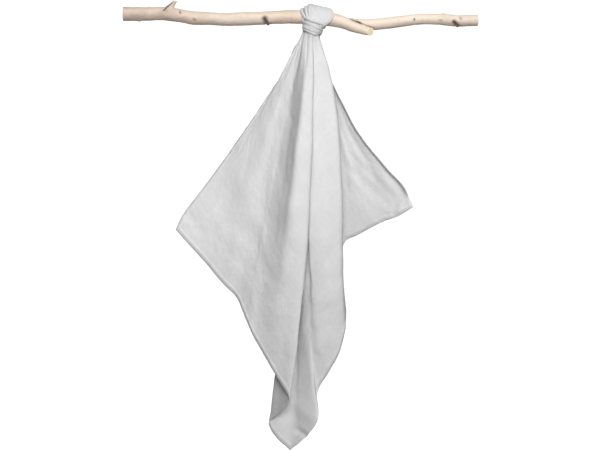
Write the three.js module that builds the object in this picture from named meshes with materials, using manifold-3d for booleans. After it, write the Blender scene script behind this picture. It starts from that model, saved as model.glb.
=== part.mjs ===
// Plain muslin cloth knotted by one corner over a bare branch, hanging open
// Millimetres, +X along the branch to the right, +Y away from the viewer, +Z up
// Origin: centre of the branch's left cut face

import * as THREE from 'three';
import { mergeVertices } from 'three/addons/utils/BufferGeometryUtils.js';
import Module from 'manifold-3d';

const wasm = await Module();
wasm.setup();

// Driving dimensions
const SHEET_T = 1.3;
const FIT_GAP = 0.6;
const BRANCH_LENGTH = 710;
const BRANCH_SIDES = 18;
const COLUMNS_PER_FOLD = 4;
const ROWS_DOWN = 17;
const ROW_CROWDING = 1.2;
const NECK = { x: 378, z: -42 };
const EYE = { x: 354, y: -3000, z: -422 };

// Fold lines from the neck to the hem, left edge first
// turn: angle in the flat cloth from its left edge, degrees
// neckX, neckY: where the fold leaves the neck
// hemX, hemY, drop: where it meets the hem, seen from the front, drop below the neck
// highX, highY: bow in the upper third; lowX, lowY: bow in the lower third
const FOLDS = [
  { name: 'left_edge', turn: 0, neckX: -24, neckY: 8, hemX: -271, hemY: 14, drop: 390,
    highX: 14, highY: -3, lowX: -4, lowY: 14 },
  { name: 'left_flap', turn: 8.5, neckX: -20, neckY: 2, hemX: -218, hemY: 11, drop: 450,
    highX: -6, highY: -2, lowX: 1, lowY: -4 },
  { name: 'flap_turn', turn: 15, neckX: -18.5, neckY: 1, hemX: -177, hemY: 5, drop: 498,
    highX: -8, highY: -8, lowX: 0, lowY: -13 },
  { name: 'flap_foot', turn: 18.5, neckX: -18, neckY: 1, hemX: -151, hemY: -3, drop: 525,
    highX: -7, highY: -11, lowX: 2, lowY: -15 },
  { name: 'wall_foot', turn: 21.5, neckX: -17.5, neckY: 1, hemX: -139, hemY: -11, drop: 552,
    highX: -4, highY: -14, lowX: 4, lowY: -16 },
  { name: 'wall_low', turn: 24.2, neckX: -16.5, neckY: 0, hemX: -128, hemY: -17, drop: 579,
    highX: 0, highY: -20, lowX: 3, lowY: -17 },
  { name: 'wall_mid', turn: 26.3, neckX: -15.5, neckY: -3, hemX: -118, hemY: -19, drop: 601,
    highX: 3, highY: -31, lowX: 4, lowY: -20 },
  { name: 'wall_high', turn: 28.5, neckX: -14, neckY: -5, hemX: -105, hemY: -21, drop: 624,
    highX: 5, highY: -45, lowX: 7, lowY: -29 },
  { name: 'ridge_left', turn: 30.7, neckX: -12, neckY: -7, hemX: -91, hemY: -22, drop: 649,
    highX: 6, highY: -57, lowX: 7, lowY: -34 },
  { name: 'ridge_mid', turn: 33.8, neckX: -7, neckY: -9, hemX: -70, hemY: -24, drop: 685,
    highX: 5, highY: -62, lowX: 7, lowY: -33 },
  { name: 'fold_front', turn: 37.5, neckX: 1, neckY: -11, hemX: -46, hemY: -28, drop: 734,
    highX: 8, highY: -56, lowX: 10, lowY: -24 },
  { name: 'fold_mid', turn: 39.8, neckX: -3, neckY: -2, hemX: -66, hemY: 10, drop: 756,
    highX: 3, highY: -56, lowX: 6, lowY: -18 },
  { name: 'fold_back', turn: 42, neckX: -8, neckY: 5, hemX: -86, hemY: 50, drop: 780,
    highX: 4, highY: -62, lowX: 4, lowY: -24 },
  { name: 'tip_left', turn: 43.6, neckX: -8, neckY: 8, hemX: -69, hemY: 50, drop: 808,
    highX: 2, highY: -56, lowX: 2, lowY: -6 },
  { name: 'tip', turn: 45, neckX: -7, neckY: 11, hemX: -44, hemY: 46, drop: 831,
    highX: 0, highY: -50, lowX: 0, lowY: 5 },
  { name: 'tip_side', turn: 46.7, neckX: -5, neckY: 11, hemX: -18, hemY: 28, drop: 809,
    highX: -2, highY: -54, lowX: -12, lowY: 5 },
  { name: 'tip_right', turn: 48.6, neckX: -4, neckY: 10, hemX: 11, hemY: 5, drop: 773,
    highX: -3, highY: -58, lowX: -24, lowY: 3 },
  { name: 'valley', turn: 51, neckX: 1, neckY: -7, hemX: 10, hemY: 10, drop: 722,
    highX: -7, highY: -50, lowX: -12, lowY: -18 },
  { name: 'crest', turn: 55, neckX: 3, neckY: -7, hemX: 35, hemY: -6, drop: 672,
    highX: -3, highY: -49, lowX: -22, lowY: -27 },
  { name: 'ridge_foot', turn: 57, neckX: 6, neckY: -8, hemX: 53, hemY: -14, drop: 640,
    highX: -6, highY: -46, lowX: -17, lowY: -31 },
  { name: 'right_ridge', turn: 59, neckX: 8, neckY: -10, hemX: 64, hemY: -22, drop: 604,
    highX: -6, highY: -40, lowX: -8, lowY: -30 },
  { name: 'ridge_side', turn: 63, neckX: 12, neckY: -6, hemX: 68, hemY: -12, drop: 562,
    highX: 21, highY: -40, lowX: 0, lowY: -30 },
  { name: 'tuck', turn: 67.5, neckX: 4, neckY: 0, hemX: 60, hemY: 6, drop: 496,
    highX: 0, highY: 28, lowX: -7, lowY: 16 },
  { name: 'tuck_turn', turn: 69.8, neckX: 5.5, neckY: 6, hemX: 62, hemY: 16, drop: 466,
    highX: 3, highY: 34, lowX: -5, lowY: 17 },
  { name: 'tuck_side', turn: 71.7, neckX: 7, neckY: 6, hemX: 60, hemY: 20, drop: 440,
    highX: 5, highY: 24, lowX: -1, lowY: 6 },
  { name: 'flap_root', turn: 73.5, neckX: 8, neckY: 7, hemX: 63, hemY: 20, drop: 418,
    highX: 9, highY: 8, lowX: 0, lowY: -2 },
  { name: 'flap_inner', turn: 77, neckX: 10, neckY: 10, hemX: 95, hemY: 2, drop: 398,
    highX: 3, highY: 12, lowX: -3, lowY: -4 },
  { name: 'flap_mid', turn: 81.5, neckX: 12.5, neckY: 13, hemX: 132, hemY: -22, drop: 378,
    highX: -7, highY: 18, lowX: -5, lowY: -2 },
  { name: 'right_edge', turn: 90, neckX: 15, neckY: 16, hemX: 202, hemY: -62, drop: 344,
    highX: -23, highY: 22, lowX: -4, lowY: 0 },
];

// Fine pleats gathered under the knot, running out down the cloth
// turn and spread in degrees of the flat cloth, rise towards the viewer, from and to as shares of the length
const PLEATS = [
  { name: 'left_gather_a', turn: 0, spread: 3, rise: -8, from: -0.1, to: 0.3 },
  { name: 'left_gather_b', turn: 7, spread: 2.2, rise: 1.6, from: 0.03, to: 0.3 },
  { name: 'right_crease', turn: 57.5, spread: 1.6, rise: -2.2, from: 0.08, to: 0.8 },
  { name: 'right_gather_a', turn: 79.5, spread: 1.8, rise: 2.5, from: 0.2, to: 1.0 },
  { name: 'right_gather_b', turn: 86, spread: 1.6, rise: -3, from: 0.25, to: 1.05 },
];

// Branch stem: x along, y away, z up, r radius
const STEM = [
  { x: 0, y: 0, z: 0, r: 14 },
  { x: 44, y: 0, z: 0, r: 13.8 },
  { x: 76, y: 1, z: 1, r: 13.2 },
  { x: 98, y: 1, z: -1, r: 13.8 },
  { x: 124, y: 1, z: -5, r: 13 },
  { x: 140, y: 1, z: -8, r: 13.8 },
  { x: 172, y: 0, z: -9, r: 13 },
  { x: 204, y: -1, z: -11, r: 12.9 },
  { x: 236, y: -1, z: -10, r: 13.6 },
  { x: 268, y: -1, z: -9, r: 13 },
  { x: 300, y: 0, z: -7, r: 13 },
  { x: 324, y: 0, z: -6, r: 13.4 },
  { x: 354, y: 0, z: -6, r: 13.8 },
  { x: 380, y: 0, z: -8, r: 13.8 },
  { x: 404, y: 0, z: -10, r: 13.8 },
  { x: 426, y: -1, z: -13, r: 13.4 },
  { x: 442, y: -2, z: -18, r: 12.2 },
  { x: 460, y: -4, z: -26, r: 10.6 },
  { x: 476, y: -5, z: -32, r: 9.2 },
  { x: 489, y: -6, z: -36.5, r: 8.2 },
];

// Side branch that carries on to the right
const SIDE_BRANCH = [
  { x: 432, y: 2, z: -14, r: 9.5 },
  { x: 452, y: 3, z: -17, r: 9.6 },
  { x: 474, y: 4, z: -19.5, r: 10 },
  { x: 496, y: 4, z: -20.5, r: 11.2 },
  { x: 530, y: 3, z: -18, r: 11.5 },
  { x: 556, y: 2, z: -14.2, r: 11.1 },
  { x: 594, y: 1, z: -10.4, r: 10.8 },
  { x: 618, y: 0, z: -10.4, r: 10.8 },
  { x: 642, y: 0, z: -11, r: 11.4 },
  { x: 668, y: 0, z: -13.6, r: 11.6 },
  { x: 690, y: 0, z: -13, r: 11.3 },
  { x: BRANCH_LENGTH, y: 0, z: -12.6, r: 11.3 },
];

// Short twig ends: base and tip with their radii
const TWIG_ENDS = [
  { name: 'upper_stub', base: [90, 0, 4], baseR: 9, mid: [97, -1, 15], midR: 6.2,
    tip: [105, -2, 27], tipR: 4.4 },
  { name: 'broken_stub', base: [284, -7, -12], baseR: 5.2, mid: [288, -10, -19], midR: 4.2,
    tip: [293, -12, -26], tipR: 1.6 },
  { name: 'lower_bump', base: [666, -3, -20], baseR: 5, mid: [668, -4, -24.5], midR: 3.6,
    tip: [669, -4, -27], tipR: 1.8 },
  { name: 'upper_bump', base: [640, 0, -3], baseR: 4.4, mid: [641, 0, 0.8], midR: 3,
    tip: [641, 0, 2.6], tipR: 1.4 },
];

// Knot: each roll is a gathered strand, x, y, z of its middle, wide across and thick through
const ROLLS = [
  {
    name: 'wide_loop',
    across: [1, 0, 0],
    path: [
      { x: 383, y: -8, z: -43, wide: 12, thick: 5 },
      { x: 384, y: -14, z: -34, wide: 15, thick: 6 },
      { x: 389, y: -20.5, z: -20, wide: 20, thick: 6.5 },
      { x: 395, y: -18.5, z: -3, wide: 23, thick: 6 },
      { x: 394, y: -10, z: 8.5, wide: 21, thick: 6 },
      { x: 393, y: 2, z: 12, wide: 20, thick: 6 },
      { x: 393, y: 14, z: 8, wide: 21, thick: 6.5 },
      { x: 391, y: 21, z: -6, wide: 20, thick: 7 },
      { x: 383, y: 20, z: -24, wide: 15, thick: 7 },
      { x: 379, y: 12, z: -38, wide: 12, thick: 6 },
    ],
  },
  {
    name: 'narrow_loop',
    across: [1, 0, -0.15],
    path: [
      { x: 374, y: -9, z: -41, wide: 9, thick: 7 },
      { x: 371, y: -15, z: -33, wide: 9, thick: 8 },
      { x: 368, y: -22, z: -18, wide: 9, thick: 7 },
      { x: 367, y: -20, z: 0, wide: 10, thick: 7 },
      { x: 370, y: -10, z: 11, wide: 11, thick: 7.5 },
      { x: 374, y: 1, z: 14, wide: 11, thick: 8 },
      { x: 374, y: 13, z: 10, wide: 11, thick: 7 },
      { x: 372, y: 21, z: -6, wide: 11, thick: 7 },
      { x: 372, y: 19, z: -26, wide: 10, thick: 8 },
      { x: 375, y: 11, z: -38, wide: 9, thick: 8 },
    ],
  },
  {
    name: 'front_roll',
    across: [0, -0.2, 1],
    path: [
      { x: 364, y: -4, z: -22, wide: 6, thick: 5 },
      { x: 367, y: -17, z: -10, wide: 7.5, thick: 6 },
      { x: 377, y: -25, z: -13, wide: 8, thick: 6 },
      { x: 390, y: -25, z: -20, wide: 7.5, thick: 6 },
      { x: 402, y: -17, z: -27, wide: 7, thick: 6 },
      { x: 405, y: -3, z: -31, wide: 7, thick: 6 },
      { x: 396, y: 11, z: -33, wide: 7, thick: 6 },
      { x: 380, y: 17, z: -30, wide: 7, thick: 6 },
    ],
  },
  {
    name: 'lower_roll',
    across: [0.2, 0, 1],
    path: [
      { x: 368, y: 8, z: -24, wide: 5, thick: 5 },
      { x: 364, y: -4, z: -26, wide: 6, thick: 5 },
      { x: 370, y: -15, z: -29, wide: 6, thick: 5 },
      { x: 382, y: -17, z: -35, wide: 6, thick: 5 },
      { x: 391, y: -8, z: -39, wide: 6, thick: 5 },
      { x: 390, y: 5, z: -40, wide: 6, thick: 5 },
      { x: 378, y: 13, z: -38, wide: 6, thick: 5 },
      { x: 368, y: 8, z: -35, wide: 5, thick: 5 },
    ],
  },
  {
    name: 'neck',
    across: [1, 0, 0],
    path: [
      { x: 380, y: 0, z: -24, wide: 17, thick: 17 },
      { x: 378, y: 1, z: -34, wide: 17, thick: 18 },
      { x: 375, y: 3, z: -42, wide: 17.5, thick: 18.5 },
      { x: 374, y: 3, z: -48, wide: 18.5, thick: 18 },
    ],
  },
  {
    name: 'free_corner',
    across: [0.9, 0.1, 0.3],
    path: [
      { x: 376, y: 12, z: -30, wide: 9, thick: 5 },
      { x: 375, y: 23, z: -34, wide: 10, thick: 5 },
      { x: 374, y: 30, z: -43, wide: 12, thick: 3.4 },
      { x: 373, y: 34, z: -56, wide: 13, thick: 2.4 },
      { x: 372, y: 36, z: -72, wide: 9, thick: 1.6 },
      { x: 371, y: 37, z: -88, wide: 3.5, thick: 1.3 },
    ],
  },
];

// Smooth value of a named column at a share t between table rows i and i + 1
function along(rows, column, i, t, keys) {
  const n = rows.length;
  const slope = (k) => {
    const a = Math.max(k - 1, 0);
    const b = Math.min(k + 1, n - 1);
    if (a === k || b === k) {
      return (rows[b][column] - rows[a][column]) / (keys[b] - keys[a]);
    }
    const before = keys[k] - keys[a];
    const after = keys[b] - keys[k];
    const down = (rows[k][column] - rows[a][column]) / before;
    const up = (rows[b][column] - rows[k][column]) / after;
    return (down * after + up * before) / (before + after);
  };
  const h = keys[i + 1] - keys[i];
  const a = rows[i][column];
  const b = rows[i + 1][column];
  const t2 = t * t;
  const t3 = t2 * t;
  const start = a * (2 * t3 - 3 * t2 + 1) + slope(i) * h * (t3 - 2 * t2 + t);
  const end = b * (3 * t2 - 2 * t3) + slope(i + 1) * h * (t3 - t2);
  return start + end;
}

// Every column of a table at share t between rows i and i + 1
function blend(rows, i, t, keys) {
  const out = {};
  for (const column of Object.keys(rows[0])) {
    if (typeof rows[0][column] === 'number') {
      out[column] = along(rows, column, i, t, keys);
    }
  }
  return out;
}

// Smooth step from 0 to 1 between a and b
function ramp(a, b, v) {
  const t = Math.min(Math.max((v - a) / (b - a), 0), 1);
  return t * t * (3 - 2 * t);
}

// Point of the cloth on a fold line at share v of its length
function clothPoint(fold, v) {
  const depthShare = (fold.hemY - EYE.y) / -EYE.y;
  const hemX = EYE.x + (NECK.x + fold.hemX - EYE.x) * depthShare;
  const hemZ = EYE.z + (NECK.z - fold.drop - EYE.z) * depthShare;
  const high = 6.75 * v * (1 - v) * (1 - v);
  const low = 6.75 * v * v * (1 - v);
  const neckX = NECK.x + fold.neckX;
  return new THREE.Vector3(
    neckX + (hemX - neckX) * v + fold.highX * high + fold.lowX * low,
    fold.neckY + (fold.hemY - fold.neckY) * v + fold.highY * high + fold.lowY * low,
    NECK.z + (hemZ - NECK.z) * v,
  );
}

// Height of the fine pleats at a turn and share v
function pleatRise(turn, v) {
  let rise = 0;
  for (const pleat of PLEATS) {
    const side = (turn - pleat.turn) / pleat.spread;
    const middle = (pleat.from + pleat.to) / 2;
    const run = ramp(pleat.from, middle, v) * (1 - ramp(middle, pleat.to, v));
    rise += pleat.rise * Math.exp(-side * side) * run;
  }
  return rise;
}

// Merge equal corners, with positions only
function tidy(geometry) {
  geometry.deleteAttribute('normal');
  geometry.deleteAttribute('uv');
  return mergeVertices(geometry, 1e-4);
}

// Geometry from corner points and triangles, turned so that its volume is positive
function closed(points, faces) {
  let volume = 0;
  for (const [a, b, c] of faces) {
    volume += points[a].dot(new THREE.Vector3().crossVectors(points[b], points[c]));
  }
  const geometry = new THREE.BufferGeometry();
  const flat = points.flatMap((p) => [p.x, p.y, p.z]);
  geometry.setAttribute('position', new THREE.Float32BufferAttribute(flat, 3));
  const order = volume > 0 ? faces : faces.map(([a, b, c]) => [a, c, b]);
  geometry.setIndex(order.flat());
  return geometry;
}

// The hanging cloth: a grid over the fold lines, given its thickness along the normals
// One closed strip for each gap between columns, to be joined edge to edge
function sheetStrips() {
  const keys = FOLDS.map((fold) => fold.turn);
  const lines = [];
  for (let i = 0; i < FOLDS.length - 1; i += 1) {
    for (let k = 0; k < COLUMNS_PER_FOLD; k += 1) {
      lines.push(blend(FOLDS, i, k / COLUMNS_PER_FOLD, keys));
    }
  }
  lines.push(blend(FOLDS, FOLDS.length - 2, 1, keys));
  const across = lines.length;
  const down = ROWS_DOWN + 1;
  const shares = [];
  for (let j = 0; j < down; j += 1) {
    shares.push((j / ROWS_DOWN) ** ROW_CROWDING);
  }
  let grid = lines.map((fold) => shares.map((v) => clothPoint(fold, v)));
  const normals = (g) => g.map((line, i) => line.map((_, j) => {
    const left = g[Math.max(i - 1, 0)][j];
    const right = g[Math.min(i + 1, across - 1)][j];
    const above = g[i][Math.max(j - 1, 0)];
    const below = g[i][Math.min(j + 1, down - 1)];
    const du = new THREE.Vector3().subVectors(right, left);
    const dv = new THREE.Vector3().subVectors(above, below);
    return new THREE.Vector3().crossVectors(du, dv).normalize();
  }));
  const plain = normals(grid);
  grid = grid.map((line, i) => line.map((p, j) => {
    const rise = pleatRise(lines[i].turn, shares[j]);
    return p.clone().addScaledVector(plain[i][j], rise);
  }));
  const final = normals(grid);
  const strips = [];
  for (let from = 0; from < across - 1; from += 1) {
    strips.push(strip(grid, final, from, from + 1));
  }
  return strips;
}

// Closed strip of the sheet between two columns of its grid
function strip(grid, normals, from, to) {
  const across = to - from + 1;
  const down = grid[0].length;
  const points = [];
  for (const side of [0.5, -0.5]) {
    for (let i = 0; i < across; i += 1) {
      for (let j = 0; j < down; j += 1) {
        const way = normals[from + i][j];
        points.push(grid[from + i][j].clone().addScaledVector(way, side * SHEET_T));
      }
    }
  }
  const half = across * down;
  const front = (i, j) => i * down + j;
  const back = (i, j) => half + i * down + j;
  const faces = [];
  const quad = (a, b, c, d) => {
    faces.push([a, b, c]);
    faces.push([a, c, d]);
  };
  for (let i = 0; i < across - 1; i += 1) {
    for (let j = 0; j < down - 1; j += 1) {
      quad(front(i, j), front(i, j + 1), front(i + 1, j + 1), front(i + 1, j));
      quad(back(i, j), back(i + 1, j), back(i + 1, j + 1), back(i, j + 1));
    }
    quad(front(i, 0), front(i + 1, 0), back(i + 1, 0), back(i, 0));
    quad(front(i, down - 1), back(i, down - 1), back(i + 1, down - 1), front(i + 1, down - 1));
  }
  for (let j = 0; j < down - 1; j += 1) {
    quad(front(0, j), back(0, j), back(0, j + 1), front(0, j + 1));
    const last = across - 1;
    quad(front(last, j), front(last, j + 1), back(last, j + 1), back(last, j));
  }
  return closed(points, faces);
}

// Closed tube through rings of points, flat ends
function loft(rings) {
  const sides = rings[0].length;
  const points = rings.flat();
  const faces = [];
  for (let k = 0; k < rings.length - 1; k += 1) {
    for (let s = 0; s < sides; s += 1) {
      const a = k * sides + s;
      const b = k * sides + ((s + 1) % sides);
      faces.push([a, b, b + sides]);
      faces.push([a, b + sides, a + sides]);
    }
  }
  const last = (rings.length - 1) * sides;
  const startMiddle = points.length;
  const mean = (ring) => ring.reduce((m, p) => m.add(p), new THREE.Vector3()).divideScalar(sides);
  points.push(mean(rings[0]));
  points.push(mean(rings[rings.length - 1]));
  for (let s = 0; s < sides; s += 1) {
    const next = (s + 1) % sides;
    faces.push([startMiddle, next, s]);
    faces.push([startMiddle + 1, last + s, last + next]);
  }
  return closed(points, faces);
}

// Round stem that follows a table, its start and end rings square to X where asked
function stem(rows, steps, grow, sides, squareStart, squareEnd) {
  const keys = rows.map((row, k) => k);
  const stations = [];
  for (let i = 0; i < rows.length - 1; i += 1) {
    for (let k = 0; k < steps; k += 1) {
      stations.push(blend(rows, i, k / steps, keys));
    }
  }
  stations.push(blend(rows, rows.length - 2, 1, keys));
  const rings = stations.map((row, k) => {
    const a = stations[Math.max(k - 1, 0)];
    const b = stations[Math.min(k + 1, stations.length - 1)];
    const way = new THREE.Vector3(b.x - a.x, b.y - a.y, b.z - a.z).normalize();
    if ((squareStart && k === 0) || (squareEnd && k === stations.length - 1)) {
      way.set(1, 0, 0);
    }
    const up = new THREE.Vector3(0, 0, 1).addScaledVector(way, -way.z).normalize();
    const side = new THREE.Vector3().crossVectors(way, up);
    const ring = [];
    for (let s = 0; s < sides; s += 1) {
      const angle = (2 * Math.PI * s) / sides;
      const r = row.r + grow;
      ring.push(new THREE.Vector3(row.x, row.y, row.z)
        .addScaledVector(up, r * Math.cos(angle))
        .addScaledVector(side, r * Math.sin(angle)));
    }
    return ring;
  });
  return loft(rings);
}

// Short twig end from base to tip
function twig(end, grow) {
  const path = [[end.base, end.baseR], [end.mid, end.midR], [end.tip, end.tipR]];
  const way = new THREE.Vector3(...end.tip).sub(new THREE.Vector3(...end.base)).normalize();
  const side = new THREE.Vector3(0, 1, 0).cross(way).normalize();
  const up = new THREE.Vector3().crossVectors(way, side);
  const rings = path.map(([at, r]) => {
    const ring = [];
    for (let s = 0; s < 12; s += 1) {
      const angle = (2 * Math.PI * s) / 12;
      ring.push(new THREE.Vector3(...at)
        .addScaledVector(up, (r + grow) * Math.cos(angle))
        .addScaledVector(side, (r + grow) * Math.sin(angle)));
    }
    return ring;
  });
  return loft(rings);
}

// Gathered strand of cloth with a rounded flat section
function roll(item) {
  const rows = item.path;
  const keys = rows.map((row, k) => k);
  const steps = 2;
  const sides = 12;
  const stations = [];
  for (let i = 0; i < rows.length - 1; i += 1) {
    for (let k = 0; k < steps; k += 1) {
      stations.push(blend(rows, i, k / steps, keys));
    }
  }
  stations.push(blend(rows, rows.length - 2, 1, keys));
  const rings = stations.map((row, k) => {
    const a = stations[Math.max(k - 1, 0)];
    const b = stations[Math.min(k + 1, stations.length - 1)];
    const way = new THREE.Vector3(b.x - a.x, b.y - a.y, b.z - a.z).normalize();
    const across = new THREE.Vector3(...item.across);
    across.addScaledVector(way, -across.dot(way)).normalize();
    const out = new THREE.Vector3().crossVectors(way, across);
    const ring = [];
    for (let s = 0; s < sides; s += 1) {
      const angle = (2 * Math.PI * s) / sides;
      const c = Math.cos(angle);
      const d = Math.sin(angle);
      const round = (u) => Math.sign(u) * Math.abs(u) ** 0.85;
      ring.push(new THREE.Vector3(row.x, row.y, row.z)
        .addScaledVector(across, row.wide * round(c))
        .addScaledVector(out, row.thick * round(d)));
    }
    return ring;
  });
  return loft(rings);
}

function toSolid(geometry) {
  const clean = tidy(geometry);
  return new wasm.Manifold(new wasm.Mesh({
    numProp: 3,
    vertProperties: Float32Array.from(clean.attributes.position.array),
    triVerts: Uint32Array.from(clean.index.array),
  }));
}

function toMesh(solid, name, look) {
  const mesh = solid.getMesh();
  const geometry = new THREE.BufferGeometry();
  geometry.setAttribute('position', new THREE.BufferAttribute(mesh.vertProperties, 3));
  geometry.setIndex(new THREE.BufferAttribute(mesh.triVerts, 1));
  const out = new THREE.Mesh(geometry, new THREE.MeshStandardMaterial(look));
  out.name = name;
  return out;
}

const branchSolid = [
  stem(STEM, 2, 0, BRANCH_SIDES, true, false),
  stem(SIDE_BRANCH, 2, 0, BRANCH_SIDES, false, true),
  ...TWIG_ENDS.map((end) => twig(end, 0)),
].map(toSolid).reduce((whole, piece) => whole.add(piece));

// Room that the cloth leaves around the branch
const branchRoom = [
  stem(STEM, 2, FIT_GAP, BRANCH_SIDES, true, false),
  stem(SIDE_BRANCH, 2, FIT_GAP, BRANCH_SIDES, false, true),
].map(toSolid).reduce((whole, piece) => whole.add(piece));

// Joined cloth; the body itself is kept, without slivers where folds touch
const clothSolid = [...sheetStrips(), ...ROLLS.map(roll)]
  .map(toSolid)
  .reduce((whole, piece) => whole.add(piece))
  .subtract(branchRoom)
  .decompose()
  .reduce((body, piece) => (piece.volume() > body.volume() ? piece : body));

const root = new THREE.Group();
root.name = 'knotted_muslin_cloth';
root.add(toMesh(clothSolid, 'muslin_cloth', { color: 0xdcdcda, roughness: 0.95, metalness: 0 }));
root.add(toMesh(branchSolid, 'branch', { color: 0xdccbb4, roughness: 0.85, metalness: 0 }));

export default root;
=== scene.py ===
import math

import bpy
import numpy as np
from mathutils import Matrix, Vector, noise


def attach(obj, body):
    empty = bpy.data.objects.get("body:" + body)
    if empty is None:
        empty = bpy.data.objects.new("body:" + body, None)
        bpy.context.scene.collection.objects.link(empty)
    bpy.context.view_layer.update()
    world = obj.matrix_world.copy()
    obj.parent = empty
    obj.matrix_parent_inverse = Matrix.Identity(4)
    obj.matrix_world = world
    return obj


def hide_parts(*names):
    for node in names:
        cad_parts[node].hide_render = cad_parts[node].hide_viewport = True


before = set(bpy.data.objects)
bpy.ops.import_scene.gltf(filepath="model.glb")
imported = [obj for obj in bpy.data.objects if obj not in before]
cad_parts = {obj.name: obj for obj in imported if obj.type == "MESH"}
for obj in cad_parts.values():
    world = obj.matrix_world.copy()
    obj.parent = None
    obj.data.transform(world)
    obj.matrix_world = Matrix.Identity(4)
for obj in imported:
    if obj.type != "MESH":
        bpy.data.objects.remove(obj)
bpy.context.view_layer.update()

# Sizes in millimetres
MM = 0.001
FLAT_SIDE = 700.0
NECK_X = 378.0
NECK_Z = -42.0
EYE_X, EYE_Y, EYE_Z = 354.0, -3000.0, -422.0
PHOTO_WIDTH = 1200.0
PIXEL = 2.0
PHOTO_X0, PHOTO_Y0 = 123.0, 14.0
HEM_WIDTH = 9.5
SEAM_INSET = 8.3
SHEET_HALF = 0.42
HEM_HALF = 0.95
CURL_WIDTH, CURL_DEPTH, RIGHT_CURL = 8.0, 4.0, 16.0
GRID_STEP = 3.35
BRANCH_END = 710.0
BRANCH_GAP, BARK_ROOM = 0.5, 0.6

# Share of the length above the neck at which the sheet starts
TOP_SHARE = -0.04

# Shares that the hem's curl gains at the neck and loses right of the tip
NECK_CURL_GAIN, TIP_CURL_LOSS = 1.3, 1.2

# Lines of the flat grid beside a hem, as distances from its edge
EDGE_LINES = [0, 0.5, 1.4, 3, 5, 7, 7.8, SEAM_INSET, 8.8, HEM_WIDTH, HEM_WIDTH + 0.5, 11.5, 13.5]

# Fold lines from the neck to the hem: turn is the angle in the flat cloth from its left edge
FOLD_COLUMNS = "turn neck_x neck_y hem_x hem_y drop high_x high_y low_x low_y".split()
FOLDS = {
    "left_edge": (0, -24, 8, -271, 14, 390, 14, -3, -4, 14),
    "left_flap": (8.5, -20, 2, -218, 11, 450, -6, -2, 1, -4),
    "flap_turn": (15, -18.5, 1, -177, 5, 498, -8, -8, 0, -13),
    "flap_foot": (18.5, -18, 1, -151, -3, 525, -7, -11, 2, -15),
    "wall_foot": (21.5, -17.5, 1, -139, -11, 552, -4, -14, 4, -16),
    "wall_low": (24.2, -16.5, 0, -128, -17, 579, 0, -20, 3, -17),
    "wall_mid": (26.3, -15.5, -3, -118, -19, 601, 3, -31, 4, -20),
    "wall_high": (28.5, -14, -5, -105, -21, 624, 5, -45, 7, -29),
    "ridge_left": (30.7, -12, -7, -91, -22, 649, 6, -57, 7, -34),
    "ridge_mid": (33.8, -7, -9, -70, -24, 685, 5, -62, 7, -33),
    "fold_front": (37.5, 1, -11, -46, -28, 734, 8, -56, 10, -24),
    "fold_mid": (39.8, -3, -2, -66, 10, 756, 3, -56, 6, -18),
    "fold_back": (42, -8, 5, -86, 50, 780, 4, -62, 4, -24),
    "tip_left": (43.6, -8, 8, -69, 50, 808, 2, -56, 2, -6),
    "tip": (45, -7, 11, -44, 46, 831, 0, -50, 0, 5),
    "tip_side": (46.7, -5, 11, -18, 28, 809, -2, -54, -12, 5),
    "tip_right": (48.6, -4, 10, 11, 5, 773, -3, -58, -24, 3),
    "valley": (51, 1, -7, 10, 10, 722, -7, -50, -12, -18),
    "crest": (55, 3, -7, 35, -6, 672, -3, -49, -22, -27),
    "ridge_foot": (57, 6, -8, 53, -14, 640, -6, -46, -17, -31),
    "right_ridge": (59, 8, -10, 64, -22, 604, -6, -40, -8, -30),
    "ridge_side": (63, 12, -6, 68, -12, 562, 21, -40, 0, -30),
    "tuck": (67.5, 4, 0, 60, 6, 496, 0, 28, -7, 16),
    "tuck_turn": (69.8, 5.5, 6, 62, 16, 466, 3, 34, -5, 17),
    "tuck_side": (71.7, 7, 6, 60, 20, 440, 5, 24, -1, 6),
    "flap_root": (73.5, 8, 7, 63, 20, 418, 9, 8, 0, -2),
    "flap_inner": (77, 10, 10, 95, 2, 398, 3, 12, -3, -4),
    "flap_mid": (81.5, 12.5, 13, 132, -22, 378, -7, 18, -5, -2),
    "right_edge": (90, 15, 16, 202, -62, 344, -23, 22, -4, 0),
}

# Fine pleats down the cloth: turn, spread, rise towards the viewer, from and to as shares of the length
PLEATS = {
    "left_gather_a": (0, 3.0, -8, -0.1, 0.3),
    "left_gather_b": (8, 2.0, 1.2, 0.03, 0.25),
    "left_gather_c": (13, 2.0, -1.0, 0.03, 0.2),
    "neck_pleat": (32.4, 1.0, -4.2, -0.05, 0.17),
    "trough_side": (18.5, 2, -1.2, 0.1, 0.8),
    "ridge_crease": (30.5, 1.5, 2, 0.1, 0.85),
    "tip_crease": (46.5, 1.6, -2.5, 0.5, 1.1),
    "right_crease": (57.5, 1.6, -2.2, 0.08, 0.8),
    "right_gather_a": (79.5, 1.8, 2.5, 0.2, 1.0),
    "right_gather_b": (86, 1.6, -3, 0.25, 1.05),
}

# Gathers that run out of the neck: width in turn, height, share of the length where they end, seed
GATHERS = {
    "fine": (2.0, 1.4, 0.12, 5),
    "middle": (3.6, 2.2, 0.2, 6),
    "broad": (6.5, 2.4, 0.34, 7),
}

# Soft unevenness of thin cloth: height, length of a wave, shift of the pattern, seed
UNEVENNESS = {
    "wide": (1.7, 95, 0, 61),
    "medium": (0.9, 42, 7, 62),
    "small": (0.28, 15, 0, 63),
    "fine": (0.14, 8, 0, 64),
}

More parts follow.
